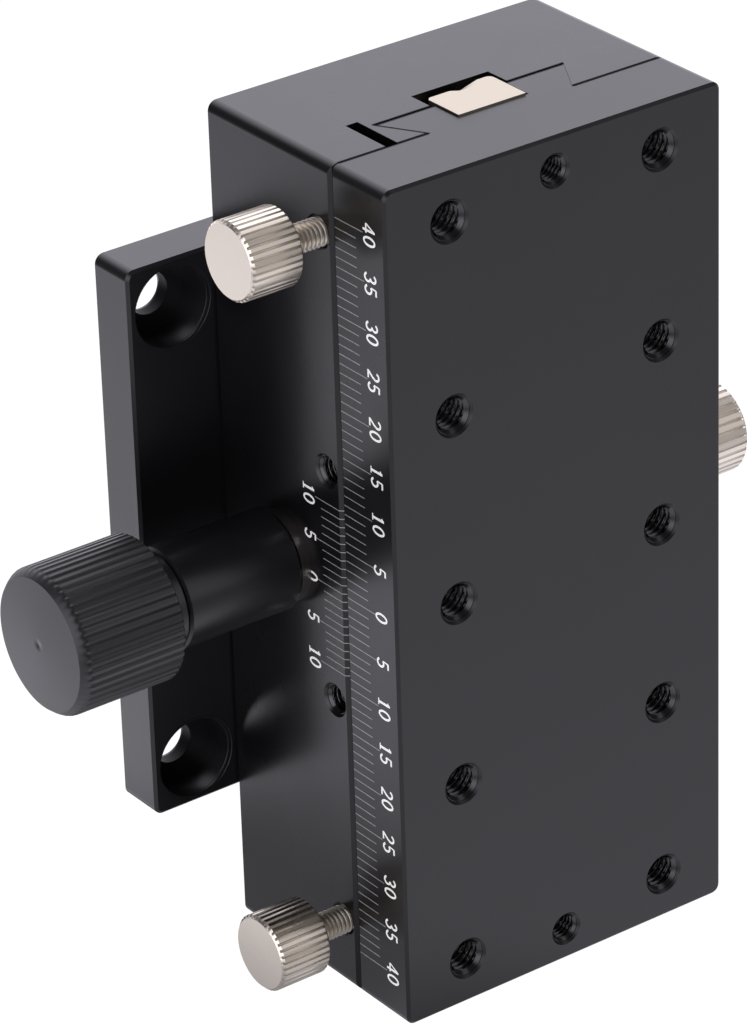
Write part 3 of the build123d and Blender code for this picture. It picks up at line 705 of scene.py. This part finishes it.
@dataclass(frozen=True)
class EngravedScale:
    """A row of marks on a side face, numbered both ways from zero.

    The face, at face_x, looks to -X. Marks run from start_y to short_y, and one in each GROUP to
    long_y. The numerals' feet are at foot_y, and their tops point to -Y. Each stroke of one stands
    out by stroke_step of the relief more than the last. Sizes are in millimetres.
    """

    face_x: float
    pitch: float
    count: int
    start_y: float
    short_y: float
    long_y: float
    foot_y: float
    numeral_height: float
    advance: float
    half_width: float = 0.043
    relief: float = 0.008
    numeral_relief: float = 0.012
    stroke_step: float = 0.08

    GROUP = 5

    def marks(self, writer: MeshWriter, bend: Pair | None = None) -> None:
        """Adds the marks, one every pitch.

        Args:
            writer: the piece that takes them.
            bend: a further (x, y) point that each mark runs on to, over a chamfer at 45 degrees.
        """
        outward = [(-1.0, 0.0, 0.0), (-1.0, 0.0, 0.0)]
        if bend:
            outward.append((-math.sqrt(0.5), -math.sqrt(0.5), 0.0))
        for step in range(-self.count, self.count + 1):
            end_y = self.long_y if step % self.GROUP == 0 else self.short_y
            z = step * self.pitch
            line = [(self.face_x, end_y, z), (self.face_x, self.start_y, z)]
            if bend:
                line.append((*bend, z))
            strip = Strip(np.array(line), np.array((0.0, 0.0, 1.0)), self.half_width, self.relief)
            strip.add(writer, np.array(outward))

    def numbers(self, writer: MeshWriter) -> None:
        """Adds a number at every long mark.

        Args:
            writer: the piece that takes them.
        """
        for step in range(-self.count, self.count + 1, self.GROUP):
            text = str(abs(step))
            first = step * self.pitch + self.advance * (len(text) - 1) / 2.0
            for place, digit in enumerate(text):
                self.digit(writer, digit, first - self.advance * place)

    def digit(self, writer: MeshWriter, digit: str, middle_z: float) -> None:
        """Adds one digit.

        A stroke's edge points are its middle line moved sideways by its half width, along the normal
        of its tangent. Across the digit is -Z, and up it is -Y.

        Args:
            writer: the piece that takes it.
            digit: one of 0 to 5.
            middle_z: the height of its middle.
        """
        pen = DigitPen()
        under = self.face_x + 2.0 * self.numeral_relief
        for level, (line, half) in enumerate(pen.strokes(digit)):
            tangent = np.gradient(line, axis=0)
            tangent /= np.linalg.norm(tangent, axis=1)[:, None]
            side = np.stack([-tangent[:, 1], tangent[:, 0]], -1) * half
            edges = np.stack([line - side, line + side], axis=1)
            y = self.foot_y - edges[..., 1] * self.numeral_height
            z = middle_z - (edges[..., 0] - pen.WIDTH / 2.0) * self.numeral_height
            top = self.face_x - self.numeral_relief * (1.0 + self.stroke_step * level)
            corners = [np.stack([np.full(len(line), x), y[:, k], z[:, k]], -1)
                       for x, k in ((top, 0), (top, 1), (under, 1), (under, 0))]
            writer.add_bar(np.stack(corners, axis=1) * MM)


@dataclass
class SlideTable(Assembly):
    """The sliding table with its tapped holes, scale and rack. Sizes are in millimetres."""

    hole_spacing: float = 25.0
    hole_rows: int = 5
    hole_row_pitch: float = 20.0
    hole_end: float = 8.0
    end_hole_height: float = 41.5
    end_hole_x: float = -0.1
    end_hole_end: float = 4.4
    scale_count: int = 40
    mark_start: float = 7.72
    short_mark_end: float = 4.45
    long_mark_end: float = 3.35
    numeral_foot: float = 3.3

    def build(self) -> None:
        """Dresses the table's nodes and adds threads, marks and numbers."""
        self.dress(self.finishes.table, "slide_table")
        self.dress(self.finishes.rack, "helical_rack")
        self.dress(self.finishes.shaft, "rack_screws")
        self.threads()
        self.scale()

    def threads(self) -> None:
        """Adds the thread ridges of all the tapped holes."""
        front = box_mm("slide_table")[0][1]
        writer = MeshWriter("table_hole_threads")
        start = front + self.MOUTH
        middle = (self.hole_rows - 1) / 2.0
        for x in (-self.hole_spacing / 2.0, self.hole_spacing / 2.0):
            for row in range(self.hole_rows):
                axis = Axis(Along.Y, x, 0.0, (row - middle) * self.hole_row_pitch)
                threaded_hole(writer, axis, self.LARGE, start, front + self.hole_end)
        for z in (-self.end_hole_height, self.end_hole_height):
            axis = Axis(Along.Y, self.end_hole_x, 0.0, z)
            threaded_hole(writer, axis, self.SMALL, start, front + self.end_hole_end)
        # The darker thread finish paints shade into the holes.
        seat(writer.write(self.finishes.thread), "table", "anodised_table")

    def scale(self) -> None:
        """Adds the millimetre scale on the left side face."""
        side, front = box_mm("slide_table")[0][:2]
        scale = EngravedScale(
            face_x=side, pitch=1.0, count=self.scale_count, start_y=front + self.mark_start,
            short_y=front + self.short_mark_end, long_y=front + self.long_mark_end,
            foot_y=front + self.numeral_foot, numeral_height=1.88, advance=1.27)
        marks = MeshWriter("table_scale_marks")
        scale.marks(marks)
        seat(marks.write(self.finishes.line), "table", "anodised_table")
        numbers = MeshWriter("table_scale_numbers")
        scale.numbers(numbers)
        # The numbers' finish glows faintly: painted light.
        seat(numbers.write(self.finishes.numeral), "table", "anodised_table")


@dataclass
class BaseBlock(Assembly):
    """The fixed block with its vernier and side holes, and the plate's holes. Sizes in millimetres.

    EDGE_SECTION is the section of the ring round a counterbore's mouth, as pairs of a station and a
    radius in broken edges. A through hole's wall is a darker tube, wall_inside proud: painted shade.
    """

    vernier_pitch: float = 0.9
    vernier_count: int = 10
    short_mark_end: float = 3.3
    long_mark_end: float = 4.25
    numeral_foot: float = 6.15
    seam_chamfer: float = 0.35
    side_hole_height: float = 12.5
    side_hole_inset: float = 2.2
    side_hole_depth: float = 3.5
    plate_hole_inset: float = 5.0
    plate_hole_radius: float = 2.25
    counterbore_radius: float = 4.25
    counterbore_depth: float = 4.02
    broken_edge: float = 0.3
    wall_inside: float = 0.03
    wall_outside: float = 0.05
    back_chamfer: float = 0.3
    ring_columns: int = 64

    EDGE_SECTION = ((0.9, 1.0), (-0.1, 0.9), (0.9, -0.1))

    def build(self) -> None:
        """Dresses the base's nodes and adds the vernier, the side threads and the plate's holes."""
        self.dress(self.finishes.base, "base_body")
        self.dress(self.finishes.plate, "mounting_plate")
        self.dress(self.finishes.blackened, "plate_screws", "bush_set_screw", "jaw_set_screws")
        self.dress(self.finishes.brass, "lock_plug")
        self.vernier()
        self.side_threads()
        self.plate_holes()

    def plate_holes(self) -> None:
        """Adds the broken edges of the plate's counterbores and its holes' darker walls: painted shade.
        """
        low, high = box_mm("mounting_plate")
        edges = MeshWriter("counterbore_edges")
        walls = MeshWriter("plate_hole_painted_shade")
        angle = (np.arange(self.ring_columns) * TURN / self.ring_columns)[None, :]
        edge_station, edge_radius = (self.broken_edge * np.array(column)[:, None]
                                     for column in zip(*self.EDGE_SECTION))
        wall_ends = (low[1] + self.counterbore_depth, high[1] - self.back_chamfer)
        wall_station = np.array([*wall_ends, *wall_ends[::-1]])[:, None]
        proud = np.array([-self.wall_inside] * 2 + [self.wall_outside] * 2)[:, None]
        for x in (low[0] + self.plate_hole_inset, high[0] - self.plate_hole_inset):
            for z in (low[2] + self.plate_hole_inset, high[2] - self.plate_hole_inset):
                axis = Axis(Along.Y, x, 0.0, z)
                ring = axis.place(low[1] + edge_station, self.counterbore_radius + edge_radius, angle)
                edges.add_grid(ring, close_rows=True)
                tube = axis.place(wall_station, self.plate_hole_radius + proud, angle)
                walls.add_grid(tube, close_rows=True)
        seat(edges.write(self.finishes.plate), "base", "anodised_plate")
        # The linings take the darker rough finish: painted shade inside the through holes.
        seat(walls.write(self.finishes.dull), "base", "anodised_plate")

    def vernier(self) -> None:
        """Adds the vernier marks, which run over the seam chamfer, and their numbers."""
        side, front = box_mm("base_body")[0][:2]
        scale = EngravedScale(
            face_x=side, pitch=self.vernier_pitch, count=self.vernier_count,
            start_y=front + self.seam_chamfer, short_y=front + self.short_mark_end,
            long_y=front + self.long_mark_end, foot_y=front + self.numeral_foot,
            numeral_height=1.85, advance=1.2)
        marks = MeshWriter("vernier_marks")
        scale.marks(marks, (side + self.seam_chamfer, front))
        seat(marks.write(self.finishes.line), "base", "anodised_base")
        numbers = MeshWriter("vernier_numbers")
        scale.numbers(numbers)
        # The numbers' finish glows faintly: painted light.
        seat(numbers.write(self.finishes.numeral), "base", "anodised_base")

    def side_threads(self) -> None:
        """Adds the thread ridges of the two small side holes."""
        side, front = box_mm("base_body")[0][:2]
        writer = MeshWriter("side_hole_threads")
        for z in (-self.side_hole_height, self.side_hole_height):
            axis = Axis(Along.X, 0.0, front + self.side_hole_inset, z)
            threaded_hole(writer, axis, self.SMALL, side + self.MOUTH, side + self.side_hole_depth)
        # The darker thread finish paints shade into the holes.
        seat(writer.write(self.finishes.thread), "base", "anodised_base")


@dataclass
class Seam(Assembly):
    """Painted shade of the broken edges where table and base meet: dark strips on the two end faces.

    Sizes are in millimetres. A run goes from one (x, y) point to another; its strip lies on the side
    given by a sign, 1 for the left of the direction of travel.
    """

    neck_half: float = 8.6
    depth: float = 4.85
    flank_degrees: float = 30.0
    gap: float = 0.2
    floor_gap: float = 0.3
    corner_round: float = 1.0
    slit_inner: float = 12.05
    slit_outer: float = 13.45
    groove_half: float = 4.6
    channel_half: float = 4.25
    half_width: float = 0.07
    relief: float = 0.008

    def build(self) -> None:
        """Adds the strips of the base and of the table."""
        low, high = box_mm("base_body")
        front, half = low[1], high[0] - self.corner_round
        floor = front + self.depth
        tip = self.neck_half + self.depth * math.tan(math.radians(self.flank_degrees))
        neck = self.neck_half
        # Painted shade: dark strips along the seam's edges on the base.
        base_strips = self.strips("base_seam_painted_shade", high[2], (
            ((-half, front), (-self.slit_outer, front), 1.0),
            ((-self.slit_inner, front), (-neck, front), 1.0),
            ((-tip, floor), (-neck, front), -1.0),
            ((-tip, floor), (-self.groove_half, floor), 1.0),
            ((self.groove_half, floor), (tip, floor), 1.0),
            ((neck, front), (half, front), 1.0)))
        seat(base_strips, "base", "anodised_base")
        back = front - self.gap
        way_back = floor - self.floor_gap
        way_half = tip - self.floor_gap
        # Painted shade: dark strips along the seam's edges on the table.
        table_strips = self.strips("table_seam_painted_shade", high[2], (
            ((-half, back), (-neck, back), -1.0),
            ((neck, back), (half, back), -1.0),
            ((-way_half, way_back), (-self.channel_half, way_back), -1.0),
            ((self.channel_half, way_back), (way_half, way_back), -1.0)))
        seat(table_strips, "table", "anodised_table")

    def strips(self, name: str, top: float, runs: tuple) -> bpy.types.Object:
        """Makes one piece: for each run, a strip on both end faces.

        Args:
            name: the piece's name.
            top: the height of the upper end face; the lower one is as far down.
            runs: start, end and side of each run.

        Returns:
            The piece.
        """
        writer = MeshWriter(name)
        for end in (-1.0, 1.0):
            for start, stop, side in runs:
                along = np.array([stop[0] - start[0], stop[1] - start[1]])
                along /= np.linalg.norm(along)
                across = side * np.array([-along[1], along[0], 0.0])
                line = np.array([(*start, end * top), (*stop, end * top)]) + across * self.half_width
                strip = Strip(line, across, self.half_width, self.relief)
                strip.add(writer, np.array([(0.0, 0.0, end)] * 2))
        # The strips take the darker rough finish: painted shade.
        return writer.write(self.finishes.dull)


@dataclass
class Drive(Assembly):
    """Bush, sleeve, collar, shaft and the knurled knob. Sizes are in millimetres.

    The knob's profile is in tables. Those of the back edge and the rim hold a station, a step from
    the land's radius and a share of the groove's depth; the crown's holds shares of its height and
    of the face's radius; the dimple's holds a station and a radius.
    """

    grooves: int = 54
    groove_depth: float = 0.17
    groove_share: float = 0.6
    back_ring: float = 2.2
    bevel: float = 0.9
    face_radius: float = 6.75
    face_ease: float = 0.03
    crown: float = 0.15

    BACK_EDGE = ((0.0, -0.35, 0.0), (-0.05, -0.18, 0.8), (-0.2, 0.0, 1.0))
    RIM = ((0.35, 0.0, 1.0), (0.1, -0.02, 0.85), (-0.12, -0.1, 0.45), (-0.4, -0.28, 0.0))
    CROWN = ((0.0, 1.0), (0.4, 0.72), (0.75, 0.4), (0.97, 0.12))
    DIMPLE = ((0.0, 0.35), (0.04, 0.2), (0.05, 0.0))

    def build(self) -> None:
        """Dresses the drive's nodes and makes the knob."""
        self.dress(self.finishes.brass, "drive_bush", "shaft_end_bush")
        self.dress(self.finishes.sleeve, "drive_sleeve")
        self.dress(self.finishes.collar, "thrust_collar")
        self.dress(self.finishes.plastic, "drag_washer")
        self.dress(self.finishes.shaft, "pinion_shaft")
        self.dress(self.finishes.blackened, "knob_set_screw")
        self.knob()

    def knob(self) -> None:
        """Makes the knurled knob, whose grooves run out in the bevel of its outer rim."""
        low, high = box_mm("drive_knob")
        axis = Axis(Along.X, 0.0, (low[1] + high[1]) / 2.0, (low[2] + high[2]) / 2.0)
        radius, depth = (high[2] - low[2]) / 2.0, self.groove_depth
        tip, back = low[0], high[0]
        face, inner = tip + self.crown, self.face_radius
        bevel_end = face + self.bevel
        profile = [(back, 0.0, 0.0), (back, self.back_ring, 0.0)]
        profile += [(back + shift, radius + step, depth * cut) for shift, step, cut in self.BACK_EDGE]
        profile += [(bevel_end + shift, radius + step, depth * cut) for shift, step, cut in self.RIM]
        profile += [(face + self.face_ease, inner + self.face_ease, 0.0)]
        profile += [(face - self.crown * rise, inner * share, 0.0) for rise, share in self.CROWN]
        profile += [(tip + shift, dimple, 0.0) for shift, dimple in self.DIMPLE]
        writer = MeshWriter("knurled_drive_knob")
        writer.add_turned(knurled_grid(axis, profile, self.grooves, self.groove_share))
        piece = writer.write(self.finishes.knob, sharp_degrees=28.0)
        seat(piece, "drive", "anodised_knob", "drive_knob")


@dataclass
class Thumbscrew(Assembly):
    """A screw with a knurled head, built round its node. Sizes are in millimetres.

    Both edges of the head are tables of the station, the radius from the land and the share of the
    groove's depth.
    """

    name: str
    node: str
    body: str
    outward: float = -1.0
    grooves: int = 38
    head_length: float = 5.9
    groove_depth: float = 0.24
    groove_share: float = 0.45
    face_ring_share: float = 0.5
    shank_start: float = 0.5
    thread: Thread = Thread(pitch=0.5, outer=1.49, inner=1.19)

    INNER_EDGE = ((0.0, -0.32, 0.0), (0.08, -0.2, 0.3), (0.3, 0.0, 1.0))
    OUTER_EDGE = ((-0.32, 0.0, 1.0), (-0.144, -0.176, 1.0 / 6.0), (-0.01, -0.3104, 0.0),
                  (0.0, -0.32, 0.0))

    def build(self) -> None:
        """Makes the head and the threaded shank as one piece in place of the plain node."""
        low, high = box_mm(self.node)
        axis = Axis(Along.X, 0.0, (low[1] + high[1]) / 2.0, (low[2] + high[2]) / 2.0)
        radius, depth, length = (high[2] - low[2]) / 2.0, self.groove_depth, self.head_length
        outer, tip = (low[0], high[0]) if self.outward < 0 else (high[0], low[0])
        inner = outer - self.outward * length
        head = [(0.0, 0.0, 0.0)]
        head += [(shift, radius + step, depth * cut) for shift, step, cut in self.INNER_EDGE]
        head += [(length + shift, radius + step, depth * cut) for shift, step, cut in self.OUTER_EDGE]
        head += [(length, radius * self.face_ring_share, 0.0), (length, 0.0, 0.0)]
        profile = [(inner + self.outward * station, land, cut) for station, land, cut in head]
        writer = MeshWriter(self.name)
        writer.add_turned(knurled_grid(axis, profile, self.grooves, self.groove_share))
        threaded_rod(writer, axis, self.thread, inner + self.outward * self.shank_start, tip)
        piece = writer.write(self.finishes.nickel, sharp_degrees=40.0)
        seat(piece, self.body, "screw_nickel", self.node)


@dataclass(frozen=True)
class SoftLight:
    """A broad soft light, as a lobe of brightness about a direction.

    Brightness is strength times a smooth step of the cosine between the seen direction and the
    light's, from 0 at its edge to 1 at its core.
    """

    azimuth: float
    elevation: float
    core: float
    edge: float
    strength: float

    def direction(self) -> Triple:
        """Unit vector to the light; azimuth 0 is +Y, and 90 degrees is +X."""
        turn, rise = math.radians(self.azimuth), math.radians(self.elevation)
        return (math.cos(rise) * math.sin(turn), math.cos(rise) * math.cos(turn), math.sin(rise))


@dataclass
class Studio:
    """Pale floor, soft light all round and the camera. Lengths are in millimetres."""

    camera_place: Triple = (-283.718, -395.425, 247.205)
    azimuth: float = 35.863
    elevation: float = 27.675
    roll: float = 1.892
    focal_pixels: float = 5400.0
    long_side_pixels: float = 1024.0
    sensor: float = 36.0
    clip: Pair = (10.0, 20000.0)
    floor_height: float = -45.2
    floor_half: float = 4000.0
    floor_glow: float = 1.05
    shadow_height: float = -45.1
    shadow_card_half: float = 100.0
    shadow_half: Pair = (4.0, 14.0)
    shadow_middle: Pair = (-24.0, -8.0)
    shadow_reach: float = 30.0
    shadow_level: float = 0.3
    even_level: float = 0.08
    light_tint: Triple = (1.0, 0.985, 1.085)

    def build(self) -> None:
        """Makes the whole set and picks the plain view transform, so that the floor stays white."""
        bpy.context.scene.view_settings.view_transform = "Standard"
        self.camera()
        self.floor()
        self.shadow()
        self.light()

    def camera(self) -> None:
        """Places the camera, which looks along an azimuth and an elevation and is rolled."""
        turn, tilt, roll = (math.radians(k) for k in (self.azimuth, self.elevation, self.roll))
        flat = math.cos(tilt)
        forward = Vector((flat * math.sin(turn), flat * math.cos(turn), -math.sin(tilt)))
        level = forward.cross(Vector((0.0, 0.0, 1.0))).normalized()
        down = forward.cross(level)
        right = level * math.cos(roll) + down * math.sin(roll)
        up = -(forward.cross(right))
        place = Matrix((right, up, -forward)).transposed().to_4x4()
        place.translation = Vector(self.camera_place) * MM
        data = bpy.data.cameras.new("camera")
        data.sensor_fit = "VERTICAL"
        data.sensor_height = self.sensor
        data.lens = self.focal_pixels / self.long_side_pixels * self.sensor
        data.clip_start, data.clip_end = (k * MM for k in self.clip)
        camera = bpy.data.objects.new("camera", data)
        camera.matrix_world = place
        bpy.context.scene.collection.objects.link(camera)
        bpy.context.scene.camera = camera

    @staticmethod
    def card(name: str, half: float, height: float, material: Material) -> bpy.types.Object:
        """Lays a square card that casts no shadow and lights nothing.

        Args:
            name: the card's name.
            half: half its side, in millimetres.
            height: its height, in millimetres.
            material: its finish.

        Returns:
            The new object.
        """
        mesh = bpy.data.meshes.new(name)
        corners = [(x * half * MM, y * half * MM, height * MM)
                   for x, y in ((-1.0, -1.0), (1.0, -1.0), (1.0, 1.0), (-1.0, 1.0))]
        mesh.from_pydata(corners, [], [(0, 1, 2, 3)])
        mesh.materials.append(material)
        card = bpy.data.objects.new(name, mesh)
        card.visible_diffuse = False
        card.visible_shadow = False
        bpy.context.scene.collection.objects.link(card)
        return card

    def floor(self) -> None:
        """Lays a pale floor that glows softly, so that it stays even behind the dark object."""
        material = bpy.data.materials.new("pale_floor")
        build = clear_tree(material)
        glow = build.new("ShaderNodeEmission", {"Strength": self.floor_glow})
        build.new("ShaderNodeOutputMaterial", {"Surface": glow.outputs[0]})
        floor = self.card("floor", self.floor_half, self.floor_height, material)
        floor.visible_glossy = False

    def shadow(self) -> None:
        """Lays the object's soft shadow for mirrored rays only, which pass through it and grow darker.

        What passes is shadow_level beside the footprint and rises to 1 at shadow_reach from it. The
        distance to the footprint is the length of max(|place - middle| - half, 0).
        """
        material = bpy.data.materials.new("soft_shadow")
        build = clear_tree(material)
        vector = build.new("ShaderNodeTexCoord").outputs["Object"]
        zero = (0.0, 0.0, 0.0)
        middle, half = (*self.shadow_middle, self.shadow_height), (*self.shadow_half, 0.0)
        for operation, value in (("SUBTRACT", middle), ("ABSOLUTE", zero), ("SUBTRACT", half),
                                 ("MAXIMUM", zero)):
            terms = {0: vector, 1: tuple(k * MM for k in value)}
            vector = build.new("ShaderNodeVectorMath", terms, operation=operation).outputs[0]
        distance = build.new("ShaderNodeVectorMath", {0: vector}, operation="LENGTH")
        passed = build.new("ShaderNodeMapRange", {
            "Value": distance.outputs["Value"], "From Max": self.shadow_reach * MM,
            "To Min": self.shadow_level}, interpolation_type="SMOOTHSTEP")
        clear = build.new("ShaderNodeBsdfTransparent", {"Color": passed.outputs["Result"]})
        build.new("ShaderNodeOutputMaterial", {"Surface": clear.outputs[0]})
        card = self.card("shadow_card", self.shadow_card_half, self.shadow_height, material)
        card.visible_camera = False

    def light(self) -> None:
        """Lights the set from all round: a dim even level and a few broad soft lights."""
        top_faces = SoftLight(36.0, 27.0, 0.95, 0.5, 1.5)
        left_faces = SoftLight(-20.0, -35.0, 0.974, 0.95, 1.15)
        front_faces = SoftLight(144.0, -26.0, 0.97, 0.6, 0.3)
        round_fronts = SoftLight(144.0, 27.0, 0.98, 0.9, 0.62)
        overhead = SoftLight(80.0, 65.0, 0.93, 0.8, 0.25)
        left_fill = SoftLight(-108.0, 16.0, 0.95, 0.7, 1.5)
        below = SoftLight(0.0, -90.0, 0.75, 0.15, 0.7)
        world = bpy.data.worlds.new("studio")
        bpy.context.scene.world = world
        build = clear_tree(world)
        seen = build.new("ShaderNodeTexCoord").outputs["Generated"]
        total = self.even_level
        for light in (top_faces, left_faces, front_faces, round_fronts, overhead, left_fill, below):
            dot = build.new("ShaderNodeVectorMath", {0: seen, 1: light.direction()},
                            operation="DOT_PRODUCT")
            lobe = build.new("ShaderNodeMapRange", {
                "Value": dot.outputs["Value"], "From Min": light.edge, "From Max": light.core,
                "To Max": light.strength}, interpolation_type="SMOOTHSTEP")
            total = build.new("ShaderNodeMath", {0: total, 1: lobe.outputs["Result"]},
                              operation="ADD").outputs[0]
        back = build.new("ShaderNodeBackground", {"Color": (*self.light_tint, 1.0), "Strength": total})
        build.new("ShaderNodeOutputWorld", {"Surface": back.outputs[0]})


def main() -> None:
    """Builds the stage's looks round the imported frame."""
    logging.basicConfig(level=logging.INFO, format="%(message)s")
    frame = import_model()
    kit = (frame, Finishes())
    Studio().build()
    SlideTable(*kit).build()
    BaseBlock(*kit).build()
    Seam(*kit).build()
    Drive(*kit).build()
    Thumbscrew(*kit, "upper_thumbscrew", "upper_clamp_screw", "upper_clamp").build()
    Thumbscrew(*kit, "lower_thumbscrew", "lower_clamp_screw", "lower_clamp").build()
    Thumbscrew(*kit, "right_thumbscrew", "lock_screw", "lock", outward=1.0, grooves=36,
               head_length=5.6).build()


if __name__ == "__main__":
    main()
